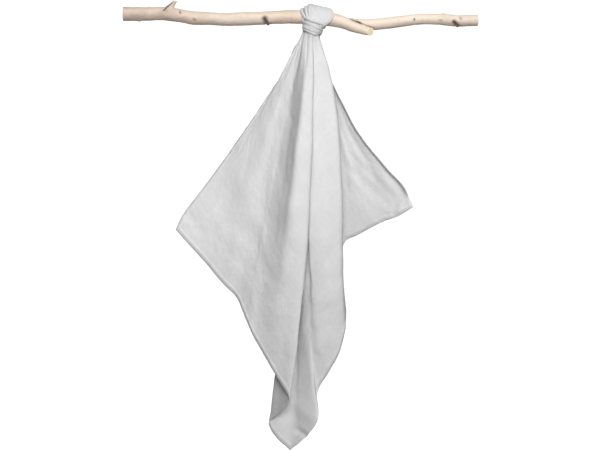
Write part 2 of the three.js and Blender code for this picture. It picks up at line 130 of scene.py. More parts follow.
# Creases seen from the front: ends in photo pixels, width and rise in mm, range of turn they lie in
CREASES = {
    "left_corner": (187, 213, 201, 232, 9, -1.6, 0, 12),
    "left_corner_fold": (180, 222, 196, 226, 6, 1.0, 0, 10),
    "flap_sag": (214, 196, 262, 250, 26, -1.6, 2, 22),
    "flap_rise": (232, 168, 268, 226, 22, 1.0, 2, 20),
    "trough_line_a": (291, 120, 282, 196, 5, -1.6, 14, 27),
    "trough_line_b": (280, 206, 273, 268, 5, -1.3, 14, 27),
    "right_fall_a": (353, 150, 396, 192, 8, 1.8, 76, 90),
    "right_fall_b": (349, 168, 386, 204, 8, -1.5, 76, 90),
    "right_corner": (402, 199, 400, 212, 5, 1.6, 80, 90),
    "right_corner_b": (395, 203, 393, 213, 5, -1.2, 80, 90),
    "tip_dimple": (298, 431, 306, 436, 6, -4.2, 44, 52),
    "tip_edge": (292, 402, 312, 418, 12, 1.6, 43, 52),
    "ridge_line": (321, 150, 329, 300, 10, 1.2, 55, 62),
}

# Pulls on the hem: place in the flat cloth, radius and shift in space
PULLS = {
    "right_corner_up": (0, 655, 30, 5, 0, 4),
    "right_corner_low": (45, 700, 30, 0, 0, -4),
    "right_hem_top": (0, 520, 60, -5, 0, -3),
    "left_corner_up": (662, 0, 40, -4, 0, 3),
    "neck_hem": (262, 0, 16, -9, 3, 0),
}

# Branch stem: x along, y away, z up, and the radius
STEM = [
    (0, 0, 0, 14),
    (44, 0, 0, 13.8),
    (76, 1, 1, 13.2),
    (98, 1, -1, 13.8),
    (124, 1, -5, 13),
    (140, 1, -8, 13.8),
    (172, 0, -9, 13),
    (204, -1, -11, 12.9),
    (236, -1, -10, 13.6),
    (268, -1, -9, 13),
    (300, 0, -7, 13),
    (324, 0, -6, 13.4),
    (354, 0, -6, 13.8),
    (380, 0, -8, 13.8),
    (404, 0, -10, 13.8),
    (426, -1, -13, 13.4),
    (442, -2, -18, 12.2),
    (460, -4, -26, 10.6),
    (476, -5, -31.5, 9.2),
    (489, -7, -35.5, 8.2),
    (500, -8, -37, 7.4),
]

# Side branch that carries on to the right, in the same columns
SIDE_BRANCH = [
    (432, 2, -14, 9.5),
    (452, 3, -17, 9.6),
    (474, 4, -19.5, 10),
    (496, 4, -20.5, 11.2),
    (530, 3, -18, 11.5),
    (556, 2, -14.2, 11.1),
    (594, 1, -10.4, 10.8),
    (618, 0, -10.4, 10.8),
    (642, 0, -11, 11.4),
    (668, 0, -13.6, 11.6),
    (690, 0, -13, 11.3),
    (BRANCH_END, 0, -12.6, 11.3),
]

# Short twig ends, base to tip
TWIG_ENDS = {
    "upper_stub": [(87, 0, 2, 11), (92, -1, 10, 8.4), (99, -1.5, 18, 5.2), (105, -2, 27, 4.2)],
    "broken_stub": [(285, -8, -11, 6.4), (289, -11.5, -18, 5.6), (291.5, -13, -25, 3.4)],
    "lower_bump": [(667, -4, -18, 6), (668, -5, -23.5, 4.6), (670, -5, -27, 2.6)],
    "under_bump": [(32, -3, -10, 4.5), (33, -3, -13.5, 3.6), (33, -3, -15.8, 1.8)],
    "upper_bump": [(640, 0, -3, 4.4), (641, 0, 0.8, 3), (641, 0, 2.6, 1.4)],
}

# Marks on the bark, some of them painted shade: start x, z and end x, z of a short line, its depth y,
# half width, darkness and dent
BARK_MARKS = {
    "leaf_scar": (114.5, 3, 116, 0, -12, 1.9, 0.75, 0.5),
    "tan_scar": (142, -12, 145, -13, -11, 2.6, 0.5, 0.0),
    "stub_foot": (84, 8, 90, 3, -9, 3.0, 0.25, 0.2),
    # Painted shadow along the left side of the upper stub
    "stub_painted_shadow": (82, 6, 98, 22, -7, 1.7, 0.9, 0.7),
    "broken_stub": (284, -11, 291, -23, -12, 6.0, 0.98, 0.9),
    # Painted shade in the crease of the fork, over a real dent
    "slit": (455, -9.5, 478, -20, -9, 1.3, 1.0, 2.0),
    "slit_middle": (466, -14, 474, -18, -9, 2.2, 1.0, 2.0),
    "slit_end": (478, -20, 502, -29, -9, 1.2, 0.75, 1.2),
    "dot": (582, -11, 582, -13, -10, 1.9, 0.9, 0.6),
    "tan_dot": (632, -13.5, 636, -14, -10, 2.4, 0.35, 0.0),
    "low_bump": (661, -17, 672, -27, -8, 4.4, 1.0, 0.2),
    "ring_knot": (673, -9, 675, -10.5, -10, 3.0, 0.4, 0.3),
    "small_bump": (30, -15, 36, -16, -4, 2.6, 0.6, 0.0),
}

# Flat cuts: a point of the cut, the way it faces and how far around the point it reaches
CUT_ENDS = {
    "fork_end": ((494, -10, -36), (0.62, -0.72, -0.25), 15),
    "upper_stub": ((105, -2, 26), (0.25, -0.3, 0.9), 9),
}
# The cuts touch only what lies below the first height or above the second
CUT_BELOW, CUT_ABOVE = -29, 10

# Studio: floor height, radius of its flat part, radius of its curve into the wall, and the wall
FLOOR_Z, FLOOR_RADIUS, FLOOR_CURVE = -1150, 4200, 1400
WALL_RADIUS, WALL_MIDDLE, WALL_TOP = 5600, 2500, 5000

# Strands of the knot: x, y, z of the middle, half width across and half thickness
STRANDS = {
    "saddle": {
        "across": (1, 0, -0.2), "folds": 13, "depth": 1.5, "drift": 0.5, "seed": 3,
        "path": [
            (378, -5, -42, 8, 7),
            (378, -11, -36, 10, 7),
            (381, -18, -26, 13, 6.5),
            (389, -21.5, -14, 20.5, 6),
            (397.5, -17.5, -1, 24, 5.4),
            (392, -9, 9, 18.5, 5.2),
            (391, 2, 11.5, 18.5, 5.4),
            (392.5, 13, 7.5, 19.5, 6),
            (390, 20.5, -6, 20, 6.5),
            (381, 19, -22, 14, 7.5),
            (377, 12, -34, 10, 8),
            (376, 7, -42, 9, 7),
        ],
    },
    "left_band": {
        "across": (1, 0, -0.25), "folds": 7, "depth": 1.6, "drift": 0.7, "seed": 11,
        "path": [
            (379, -17, -32, 3, 4.4),
            (376, -22.5, -21, 3.6, 4.6),
            (374, -24.5, -10, 3.6, 4.8),
            (373.5, -19, 3, 4.6, 5),
            (375, -9, 12, 6.6, 5.6),
            (377, 2, 15, 8.4, 6),
            (377, 13, 10, 9, 6.2),
            (375, 21, -6, 10, 7),
            (373, 19, -26, 10, 8),
            (375, 11, -38, 9, 8),
        ],
    },
    "left_strip": {
        "across": (1, 0, -0.3), "folds": 6, "depth": 0.9, "drift": 0.5, "seed": 12,
        "path": [
            (376, -19.5, -24, 2.2, 3.4),
            (371, -23, -13, 2.4, 3.8),
            (366.8, -21, -2, 2.8, 4),
            (365, -13, 7.5, 3.4, 4.4),
            (366, -3, 12, 4.4, 4.6),
            (368, 8, 11, 5, 5),
            (368, 18, -2, 6, 5.4),
            (370, 18, -18, 6, 6),
        ],
    },
    "outer_strip": {
        "across": (1, 0, -0.6), "folds": 4, "depth": 0.8, "drift": 0.4, "seed": 13,
        "path": [
            (376, -21, -19, 1.8, 3),
            (368, -21.5, -14, 2.2, 3.2),
            (361.5, -18.5, -6, 2.6, 3.6),
            (357.5, -11, 3, 3.2, 3.8),
            (358.5, -1, 8, 4.2, 4.2),
            (361, 10, 7, 5, 4.6),
            (363, 17, -6, 5.4, 5),
            (367, 17, -20, 6, 5.4),
        ],
    },
    "collar": {
        "across": (0.12, -0.12, 1), "folds": 5, "depth": 0.8, "drift": 1.0, "seed": 21,
        "path": [
            (380, 14, -27, 10, 4),
            (368, 10, -23, 9, 4),
            (363.5, 2, -20, 8.5, 3.8),
            (364.5, -10, -20, 8.5, 3.8),
            (371, -18.5, -24, 9.5, 4),
            (379, -22, -29, 10, 4),
            (387, -19.5, -32, 9, 3.8),
            (393.5, -12, -33, 8.5, 3.6),
            (396, -2, -33.5, 8.5, 3.6),
            (393, 8, -34, 9, 3.8),
            (386, 14, -33, 10, 4),
            (376, 15, -31, 10, 4),
        ],
    },
    "neck_core": {
        "across": (1, 0, 0), "folds": 11, "depth": 1.6, "drift": 0.3, "seed": 31,
        "path": [
            (380, 0, -20, 15, 15),
            (377, 0, -30, 14, 15),
            (375, 1, -38, 12, 12),
            (375, 2, -43, 8, 8),
        ],
    },
    "free_corner": {
        "across": (0.9, 0.1, 0.3), "folds": 6, "depth": 1.0, "drift": 0.3, "seed": 41,
        "path": [
            (376, 12, -30, 9, 5),
            (375, 23, -34, 10, 5),
            (374, 30, -43, 12, 3.4),
            (373, 34, -56, 13, 2.2),
            (372, 36, -72, 9, 1.4),
            (371, 37, -87, 3, 0.9),
        ],
    },
}

# Folds of the collar lie between these two lines round the neck
COLLAR_TOP = [
    (372, 12, -16),
    (364, 4, -12.5),
    (362.5, -10, -9),
    (368, -22, -11),
    (378, -27, -16),
    (390, -28, -21),
    (398, -22.5, -24),
    (402, -10, -25.5),
    (397, 5, -27),
    (392, 16, -31),
]
COLLAR_LOW = [
    (372, 11, -35),
    (364.5, 5, -32),
    (361.5, -5, -31),
    (366.5, -15, -34),
    (375.5, -19, -38.5),
    (383.5, -16.5, -42),
    (388.5, -7, -43.5),
    (388, 5, -44),
    (381, 12, -43.5),
    (371, 12, -41),
]

# Folds of the collar: share from top to low, half width, half thickness, how far it stands out, seed
COLLAR_FOLDS = {
    "collar_a": (0.0, 3.4, 3.2, 0.9, 51),
    "collar_b": (0.2, 2.2, 2.6, -1.0, 52),
    "collar_c": (0.4, 3.2, 2.8, 0.9, 53),
    "collar_d": (0.6, 2.2, 2.6, -0.9, 54),
    "collar_e": (0.8, 3.0, 2.8, 0.6, 55),
    "collar_f": (1.0, 2.4, 2.6, 0.1, 56),
}
COLLAR_MIDDLE = (380, -2)


# Share of the way from a to b, eased at both ends
def ramp(a, b, value):
    t = np.clip((value - a) / (b - a), 0.0, 1.0)
    return t * t * (3.0 - 2.0 * t)


# Smooth curve through table values, with a slope at each key weighted by its neighbours
def spline(keys, values, at):
    steps = np.diff(keys)
    rates = np.diff(values) / steps
    slope = np.empty(len(keys))
    slope[0], slope[-1] = rates[0], rates[-1]
    slope[1:-1] = (rates[:-1] * steps[1:] + rates[1:] * steps[:-1]) / (steps[:-1] + steps[1:])
    i = np.clip(np.searchsorted(keys, at, side="right") - 1, 0, len(keys) - 2)
    h = steps[i]
    t = (at - keys[i]) / h
    t2, t3 = t * t, t * t * t
    start = values[i] * (2 * t3 - 3 * t2 + 1) + slope[i] * h * (t3 - 2 * t2 + t)
    return start + values[i + 1] * (3 * t2 - 2 * t3) + slope[i + 1] * h * (t3 - t2)


# Smooth noise from about -1 to 1 over a plane
def plane_noise(x, y, seed):
    size = 64
    turn = np.random.default_rng(seed).uniform(0, 2 * np.pi, (size, size))
    gx, gy = np.cos(turn), np.sin(turn)
    xi, yi = np.floor(x).astype(int), np.floor(y).astype(int)
    fx, fy = x - xi, y - yi
    sx = fx ** 3 * (fx * (fx * 6 - 15) + 10)
    sy = fy ** 3 * (fy * (fy * 6 - 15) + 10)

    def corner(dx, dy):
        i, j = (xi + dx) % size, (yi + dy) % size
        return gx[i, j] * (fx - dx) + gy[i, j] * (fy - dy)

    near = corner(0, 0) * (1 - sx) + corner(1, 0) * sx
    far = corner(0, 1) * (1 - sx) + corner(1, 1) * sx
    return 1.5 * (near * (1 - sy) + far * sy)


def unit(v):
    return v / np.maximum(np.linalg.norm(v, axis=-1, keepdims=True), 1e-9)


fold = {c: np.array([row[k] for row in FOLDS.values()], float) for k, c in enumerate(FOLD_COLUMNS)}


# Point on the drape at a turn, with v from 0 at the neck to 1 at the hem
def fold_point(turn, v):
    at = {c: spline(fold["turn"], fold[c], turn) for c in FOLD_COLUMNS[1:]}
    near = (at["hem_y"] - EYE_Y) / -EYE_Y
    hem_x = EYE_X + (NECK_X + at["hem_x"] - EYE_X) * near
    hem_z = EYE_Z + (NECK_Z - at["drop"] - EYE_Z) * near
    high = 6.75 * v * (1 - v) ** 2
    low = 6.75 * v ** 2 * (1 - v)
    neck_x = NECK_X + at["neck_x"]
    x = neck_x + (hem_x - neck_x) * v + at["high_x"] * high + at["low_x"] * low
    y = at["neck_y"] + (at["hem_y"] - at["neck_y"]) * v + at["high_y"] * high + at["low_y"] * low
    z = NECK_Z + (hem_z - NECK_Z) * v
    return np.stack(np.broadcast_arrays(x, y, z), axis=-1)


# Flat distance from the knotted corner to the hem
def reach(turn):
    a = np.radians(turn)
    return FLAT_SIDE / np.maximum(np.cos(a), np.sin(a))


# Length of the drape at each turn, the v that lies at each share of it, and what the knot uses up
TURNS = np.linspace(0, 90, 721)
EVEN = np.linspace(0, 1, 61)
ray = fold_point(TURNS[:, None], EVEN[None, :])
run = np.cumsum(np.linalg.norm(np.diff(ray, axis=1), axis=2), axis=1)
run = np.concatenate([np.zeros((len(TURNS), 1)), run], axis=1)
ray_length = run[:, -1]
v_at = np.array([np.interp(EVEN, r / r[-1], EVEN) for r in run])
row_length = np.interp(fold["turn"], TURNS, ray_length)
knot_use = spline(fold["turn"], reach(fold["turn"]) - row_length, TURNS)


# Turn of a point of the flat cloth, and its share of the length from the neck to the hem
def flat_to_ray(a, b):
    turn = np.degrees(np.arctan2(b, a))
    used = np.interp(turn, TURNS, knot_use)
    share = (np.hypot(a, b) - used) / (reach(turn) - used)
    return turn, share


# Point in space of a point of the flat cloth, before its creases
def drape(a, b):
    turn, share = flat_to_ray(a, b)
    k = np.clip(turn / 90 * (len(TURNS) - 1), 0, len(TURNS) - 1.001)
    m = np.clip(share, 0, 1) * (len(EVEN) - 1.001)
    k0, m0 = k.astype(int), m.astype(int)
    kt, mt = k - k0, m - m0
    low = v_at[k0, m0] * (1 - mt) + v_at[k0, m0 + 1] * mt
    high = v_at[k0 + 1, m0] * (1 - mt) + v_at[k0 + 1, m0 + 1] * mt
    v = low * (1 - kt) + high * kt + np.clip(share, -0.12, 0)
    point = fold_point(turn, v)
    neck = fold_point(turn, np.zeros_like(turn))
    drawn = np.interp(turn, TURNS, ray_length)
    used = np.interp(turn, TURNS, knot_use)
    grow = (reach(turn) - used) / drawn
    return neck + (point - neck) * grow[..., None], turn, share


# Normals of a grid of points, towards the viewer
def grid_normals(grid):
    da = np.gradient(grid, axis=0)
    db = np.gradient(grid, axis=1)
    return unit(np.cross(da, db))


# Photo pixel of a point
def pixel(points):
    far = (points[..., 1] - EYE_Y) / -EYE_Y
    x = EYE_X + (points[..., 0] - EYE_X) / far
    z = EYE_Z + (points[..., 2] - EYE_Z) / far
    return PHOTO_X0 + x / PIXEL, PHOTO_Y0 - z / PIXEL


# Flat grid, finer along the four hems
def flat_lines():
    first = EDGE_LINES[-1]
    inner = FLAT_SIDE - 2 * first
    count = int(round(inner / GRID_STEP))
    middle = [first + inner * k / count for k in range(1, count)]
    return np.array(EDGE_LINES + middle + [FLAT_SIDE - e for e in reversed(EDGE_LINES)])


# The sheet's grid, with its fine pleats
line = flat_lines()
flat_a, flat_b = np.meshgrid(line, line, indexing="ij")
cloth, turn, share = drape(flat_a, flat_b)
normal = grid_normals(cloth)
from_hem = np.minimum(np.minimum(flat_a, flat_b), FLAT_SIDE - np.maximum(flat_a, flat_b))

rise = np.zeros_like(turn)
for at, spread, height, start, end in PLEATS.values():
    middle = (start + end) / 2
    along = ramp(start, middle, share) * (1 - ramp(middle, end, share))
    rise += height * np.exp(-((turn - at) / spread) ** 2) * along

# Hems and corners pulled a little out of line
for at_a, at_b, radius, *shift in PULLS.values():
    near = np.exp(-((flat_a - at_a) ** 2 + (flat_b - at_b) ** 2) / radius ** 2)
    cloth = cloth + near[..., None] * np.array(shift, float)

# Gathers, weaker on the left side
gather = np.zeros_like(turn)
for width, height, end, seed in GATHERS.values():
    along = ramp(-0.02, 0.05, share) * (1 - ramp(0.3 * end, end, share))
    bend = 0.35 * plane_noise(share * 9, turn / 20, seed + 50)
    gather += height * along * plane_noise(turn / width + bend, share * 2.2, seed)
rise += gather * (0.35 + 0.65 * ramp(20, 26, turn))

# Creases along lines seen from the front
px, py = pixel(cloth)
for x0, y0, x1, y1, width, height, low, high in CREASES.values():
    dx, dy = x1 - x0, y1 - y0
    t = np.clip(((px - x0) * dx + (py - y0) * dy) / (dx * dx + dy * dy), 0, 1)
    off = np.hypot(px - x0 - t * dx, py - y0 - t * dy) * PIXEL
    there = ramp(low - 1, low + 1, turn) * (1 - ramp(high - 1, high + 1, turn))
    rise += height * np.exp(-(off / width) ** 2) * there

# Unevenness below the neck, and the pull of the hem seam
body = ramp(0.02, 0.2, share)
for height, length, shift, seed in UNEVENNESS.values():
    rise += body * height * plane_noise(flat_a / length + shift, flat_b / length, seed)
pull = np.exp(-(from_hem / 16) ** 2)
rise += pull * 0.8 * plane_noise((flat_a + 3 * flat_b) / 23, (flat_b - flat_a) / 60, 65)

cloth = cloth + normal * rise[..., None]

# Hems curl away from the viewer, but the right one towards the viewer and hardly right of the tip
curl = np.clip(1 - from_hem / CURL_WIDTH, 0, 1) ** 2
depth = CURL_DEPTH * (1 + NECK_CURL_GAIN * (1 - ramp(0.08, 0.3, share)))
depth = depth - RIGHT_CURL * ramp(84, 87, turn) * ramp(0.2, 0.3, share) * (1 - ramp(0.9, 0.97, share))
depth = depth * (1 - TIP_CURL_LOSS * ramp(45.2, 46, turn) * (1 - ramp(51, 53, turn)))
cloth[..., 1] += depth * curl
normal = grid_normals(cloth)

# Half thickness: one layer, more in the turned hem, with the seam pressed in and the edge rounded
hem = 1 - ramp(HEM_WIDTH - 0.2, HEM_WIDTH + 0.6, from_hem)
half = SHEET_HALF + (HEM_HALF - SHEET_HALF) * hem
half -= 0.3 * np.exp(-((from_hem - SEAM_INSET) / 0.7) ** 2)
half -= 0.25 * np.exp(-(from_hem / 0.6) ** 2)


# Smooth-shaded mesh object from points in millimetres
def new_object(name, points, faces, material):
    mesh = bpy.data.meshes.new(name)
    mesh.from_pydata(np.asarray(points, float) * MM, [], faces)
    mesh.update()
    mesh.polygons.foreach_set("use_smooth", np.ones(len(mesh.polygons), bool))
    mesh.materials.append(material)
    thing = bpy.data.objects.new(name, mesh)
    bpy.context.scene.collection.objects.link(thing)
    return thing


def add_attribute(thing, name, values):
    values = np.asarray(values, np.float32)
    kind, key = ("FLOAT_VECTOR", "vector") if values.ndim == 2 else ("FLOAT", "value")
    data = thing.data.attributes.new(name, kind, "POINT").data
    data.foreach_set(key, values.ravel())


# Closed thin sheet over a grid, where keep says which grid points are used
def closed_sheet(grid, normals, half_thickness, keep):
    cols = keep.shape[1]
    whole = keep[:-1, :-1] & keep[1:, :-1] & keep[1:, 1:] & keep[:-1, 1:]
    i, j = np.nonzero(whole)
    first = i * cols + j
    quads = np.stack([first, first + cols, first + cols + 1, first + 1], axis=1)
    used, flat = np.unique(quads, return_inverse=True)
    front = flat.reshape(quads.shape)
    count = len(used)
    back = front[:, ::-1] + count
    starts = front.ravel()
    ends = np.roll(front, -1, axis=1).ravel()
    key, reverse = starts * count + ends, ends * count + starts
    rim = ~np.isin(key, reverse)
    p, q = starts[rim], ends[rim]
    edge = np.stack([q, p, p + count, q + count], axis=1)
    points = grid.reshape(-1, 3)[used]
    off = normals.reshape(-1, 3)[used] * half_thickness.ravel()[used, None]
    return np.concatenate([points + off, points - off]), np.concatenate([front, back, edge]), used


# Node material helpers
class Nodes:
    def __init__(self, name):
        self.material = bpy.data.materials.new(name)
        self.material.use_nodes = True
        self.tree = self.material.node_tree
        self.shader = self.tree.nodes["Principled BSDF"]

    def put(self, kind, **values):
        node = self.tree.nodes.new(kind)
        for key, value in values.items():
            setattr(node, key, value)
        return node

    def link(self, source, target):
        self.tree.links.new(source, target)

    def math(self, operation, a, b=None):
        node = self.put("ShaderNodeMath", operation=operation)
        for k, value in enumerate((a, b)):
            if value is None:
                continue
            if isinstance(value, (int, float)):
                node.inputs[k].default_value = value
            else:
                self.link(value, node.inputs[k])
        return node.outputs[0]

    def scaled(self, vector, scale):
        node = self.put("ShaderNodeVectorMath", operation="MULTIPLY")
        self.link(vector, node.inputs[0])
        node.inputs[1].default_value = scale
        return node.outputs[0]

    def noise(self, vector, scale, detail=3.0, roughness=0.5):
        node = self.put("ShaderNodeTexNoise")
        self.link(vector, node.inputs["Vector"])
        node.inputs["Scale"].default_value = scale
        node.inputs["Detail"].default_value = detail
        node.inputs["Roughness"].default_value = roughness
        return node.outputs["Fac"]

    def colours(self, value, stops):
        node = self.put("ShaderNodeValToRGB")
        self.link(value, node.inputs[0])
        ramp_data = node.color_ramp
        ramp_data.elements[0].position, ramp_data.elements[1].position = stops[0][0], stops[-1][0]
        ramp_data.elements[0].color = (*stops[0][1], 1)
        ramp_data.elements[1].color = (*stops[-1][1], 1)
        for place, colour in stops[1:-1]:
            ramp_data.elements.new(place).color = (*colour, 1)
        return node.outputs[0]

    def mix(self, share, a, b):
        node = self.put("ShaderNodeMix", data_type="RGBA")
        for k, value in ((0, share), (6, a), (7, b)):
            if isinstance(value, (int, float)):
                node.inputs[k].default_value = value
            elif isinstance(value, tuple):
                node.inputs[k].default_value = (*value, 1)
            else:
                self.link(value, node.inputs[k])
        return node.outputs[2]

    # A colour laid over the base where a value goes from low to high
    def over(self, base, value, low, high, strength, colour):
        there = self.colours(value, [(low, (0, 0, 0)), (high, (1, 1, 1))])
        return self.mix(self.math("MULTIPLY", there, strength), base, colour)

    def bump(self, height, distance, strength=1.0, normal=None):
        node = self.put("ShaderNodeBump")
        self.link(height, node.inputs["Height"])
        node.inputs["Distance"].default_value = distance
        node.inputs["Strength"].default_value = strength
        if normal is not None:
            self.link(normal, node.inputs["Normal"])
        return node.outputs[0]


# Plain weave with slubs, soft mottling and small crumples, on the flat cloth in millimetres
def muslin_material():
    m = Nodes("muslin")
    flat = m.put("ShaderNodeAttribute", attribute_name="flat").outputs["Vector"]
    pitch = 0.62
    split = m.put("ShaderNodeSeparateXYZ")
    m.link(flat, split.inputs[0])
    warp = m.math("SINE", m.math("MULTIPLY", split.outputs[0], math.pi / pitch))
    weft = m.math("SINE", m.math("MULTIPLY", split.outputs[1], math.pi / pitch))
    weave = m.math("MULTIPLY", warp, weft)
    slub_a = m.noise(m.scaled(flat, (0.05, 1.0, 1.0)), 0.8, 2.0)
    slub_b = m.noise(m.scaled(flat, (1.0, 0.05, 1.0)), 0.8, 2.0)
    long_a = m.noise(m.scaled(flat, (0.12, 1.0, 1.0)), 0.16, 3.0)
    long_b = m.noise(m.scaled(flat, (1.0, 0.12, 1.0)), 0.16, 3.0)
    slubs = m.math("ADD", m.math("ADD", slub_a, slub_b), m.math("ADD", long_a, long_b))
    cloud = m.noise(flat, 0.022, 4.0, 0.6)
    crumple = m.noise(flat, 0.085, 4.0, 0.55)
    tone = m.math("ADD", m.math("MULTIPLY", slubs, 0.16), m.math("MULTIPLY", cloud, 0.36))
    greys = ((0.30, 0.60), (0.52, 0.67), (0.72, 0.73))
    base = m.colours(tone, [(place, (grey, grey, grey)) for place, grey in greys])
    m.link(base, m.shader.inputs["Base Color"])
    height = m.math("ADD", m.math("MULTIPLY", weave, 0.10), m.math("MULTIPLY", slubs, 0.22))
    fine = m.bump(height, 0.00022, 0.8)
    soft = m.bump(crumple, 0.0022, 0.4, fine)
    m.link(soft, m.shader.inputs["Normal"])
    m.shader.inputs["Roughness"].default_value = 0.92
    m.shader.inputs["Specular IOR Level"].default_value = 0.2
    m.shader.inputs["Sheen Weight"].default_value = 0.05
    m.shader.inputs["Sheen Roughness"].default_value = 0.5
    return m.material


# Thread of the hem stitches
def thread_material():
    m = Nodes("thread")
    place = m.put("ShaderNodeTexCoord").outputs["Object"]
    tone = m.noise(place, 900.0, 2.0)
    base = m.colours(tone, [(0.3, (0.68, 0.68, 0.67)), (0.7, (0.8, 0.8, 0.79))])
    m.link(base, m.shader.inputs["Base Color"])
    m.link(m.bump(tone, 0.0001, 0.6), m.shader.inputs["Normal"])
    m.shader.inputs["Roughness"].default_value = 0.7
    return m.material


# Smooth pale bark: streaks along the grain, lines across it, dark marks with painted shadow lines,
# painted shade darker below, paler cut wood
def bark_material():
    m = Nodes("bark")
    place = m.scaled(m.put("ShaderNodeTexCoord").outputs["Object"], (1000.0, 1000.0, 1000.0))
    marks_and_painted_shade = m.put("ShaderNodeAttribute", attribute_name="marks_and_painted_shade").outputs["Fac"]
    cut = m.put("ShaderNodeAttribute", attribute_name="cut").outputs["Fac"]
    split = m.put("ShaderNodeSeparateXYZ")
    m.link(place, split.inputs[0])
    along = m.math("DIVIDE", split.outputs[0], BRANCH_END)
    base = m.colours(along, [
        (0.0, (0.48, 0.36, 0.29)),
        (0.1, (0.54, 0.42, 0.34)),
        (0.2, (0.66, 0.52, 0.42)),
        (0.3, (0.75, 0.64, 0.54)),
        (0.45, (0.70, 0.56, 0.43)),
        (0.6, (0.80, 0.66, 0.54)),
        (0.8, (0.83, 0.71, 0.59)),
        (1.0, (0.73, 0.62, 0.51)),
    ])
    streak = m.noise(m.scaled(place, (0.12, 1.0, 1.0)), 0.16, 4.0, 0.6)
    patch = m.noise(m.scaled(place, (0.5, 1.0, 1.0)), 0.045, 3.0, 0.6)
    ringed = m.noise(m.scaled(place, (1.0, 0.08, 0.08)), 0.35, 3.0, 0.6)
    base = m.over(base, patch, 0.42, 0.7, 0.5, (0.86, 0.74, 0.62))
    base = m.over(base, streak, 0.5, 0.8, 0.35, (0.55, 0.42, 0.32))
    base = m.over(base, ringed, 0.6, 0.74, 0.3, (0.42, 0.33, 0.26))
    # Painted shade: the underside is darkened towards dark brown, as if lit from above
    painted_underside_shade = m.put("ShaderNodeAttribute", attribute_name="painted_underside_shade").outputs["Fac"]
    base = m.mix(m.math("MULTIPLY", painted_underside_shade, 0.5), base, (0.34, 0.26, 0.21))
    # Dark marks of the bark, and painted shade along the stub and in the fork slit
    base = m.mix(marks_and_painted_shade, base, (0.045, 0.032, 0.024))
    wood = m.mix(m.noise(place, 0.5, 4.0), (0.86, 0.72, 0.42), (0.96, 0.87, 0.62))
    base = m.mix(cut, base, wood)
    m.link(base, m.shader.inputs["Base Color"])
    grain = m.math("ADD", m.math("MULTIPLY", streak, 0.6), m.math("MULTIPLY", ringed, 0.5))
    fine = m.noise(place, 0.9, 4.0, 0.6)
    m.link(m.bump(grain, 0.0012, 0.5, m.bump(fine, 0.0004, 0.5)), m.shader.inputs["Normal"])
    m.shader.inputs["Roughness"].default_value = 0.72
    m.shader.inputs["Specular IOR Level"].default_value = 0.35
    return m.material


muslin = muslin_material()
thread = thread_material()
bark = bark_material()

keep = share >= TOP_SHARE
points, faces, used = closed_sheet(cloth, normal, half, keep)
muslin_sheet = new_object("muslin_sheet", points, faces, muslin)
flat_place = np.stack([flat_a.ravel()[used], flat_b.ravel()[used], np.zeros(len(used))], axis=1)
add_attribute(muslin_sheet, "flat", np.concatenate([flat_place, flat_place]))


# Value of a grid at any point of the flat cloth
def on_grid(grid, a, b):
    i = np.clip(np.searchsorted(line, a, side="right") - 1, 0, len(line) - 2)
    j = np.clip(np.searchsorted(line, b, side="right") - 1, 0, len(line) - 2)
    s = ((a - line[i]) / (line[i + 1] - line[i]))[:, None]
    t = ((b - line[j]) / (line[j + 1] - line[j]))[:, None]
    near = grid[i, j] * (1 - s) + grid[i + 1, j] * s
    far = grid[i, j + 1] * (1 - s) + grid[i + 1, j + 1] * s
    return near * (1 - t) + far * t


# Hem stitches on both faces, each a small raised bar of thread
def hem_stitches():
    pitch, length, radius, sides = 3.4, 2.5, 0.26, 5
    rings = ((0, 0.35), (0.16, 0.9), (0.5, 1.0), (0.84, 0.9), (1, 0.35))
    bar = len(rings) * sides
    place = np.arange(SEAM_INSET + 1, FLAT_SIDE - SEAM_INSET - 1, pitch)
    fixed = np.full_like(place, SEAM_INSET)
    far = np.full_like(place, FLAT_SIDE - SEAM_INSET)
    zero, one = np.zeros_like(place), np.ones_like(place)
    a = np.concatenate([place, far, place, fixed])
    b = np.concatenate([fixed, place, far, place])
    da = np.concatenate([one, zero, one, zero]) * length / 2
    db = np.concatenate([zero, one, zero, one]) * length / 2
    _, where = flat_to_ray(a, b)
    out = where > 0.02
    a, b, da, db = a[out], b[out], da[out], db[out]
    start, end = on_grid(cloth, a - da, b - db), on_grid(cloth, a + da, b + db)
    up = unit(on_grid(normal, a, b))
    way = unit(end - start)
    side = np.cross(way, up)
    lift = on_grid(half[..., None], a, b) + 0.06
    points, faces = [], []
    for face in (1, -1):
        for share_along, size in rings:
            dip = 0.32 * abs(share_along - 0.5) * 2
            middle = start + (end - start) * share_along + face * up * (lift - dip * 0.5)
            for k in range(sides):
                angle = 2 * math.pi * k / sides
                ray = math.cos(angle) * side + math.sin(angle) * face * up
                points.append(middle + radius * size * ray)
    points = np.stack(points, axis=1).reshape(-1, 3)
    offsets = np.arange(len(a))[:, None] * 2 * bar
    for face in (0, 1):
        for ring in range(len(rings) - 1):
            for k in range(sides):
                p = face * bar + ring * sides + k
                q = face * bar + ring * sides + (k + 1) % sides
                quad = [p, q, q + sides, p + sides]
                faces.append(offsets + np.array(quad if face == 1 else quad[::-1]))
    faces = np.concatenate(faces).tolist()
    for face in (0, 1):
        first = [face * bar + k for k in range(sides)]
        last = [k + bar - sides for k in first]
        ends = (first, last[::-1]) if face == 0 else (first[::-1], last)
        for cap in ends:
            faces.extend((offsets + np.array(cap)).tolist())
    return new_object("hem_stitches", points, faces, thread)


stitches = hem_stitches()


# Table rows made finer by smooth curves through their columns, and where each new row lies
def smooth_rows(rows, steps):
    rows = np.array(rows, float)
    keys = np.arange(len(rows), dtype=float)
    at = np.linspace(0, len(rows) - 1, (len(rows) - 1) * steps + 1)
    return np.stack([spline(keys, rows[:, k], at) for k in range(rows.shape[1])], axis=1), at


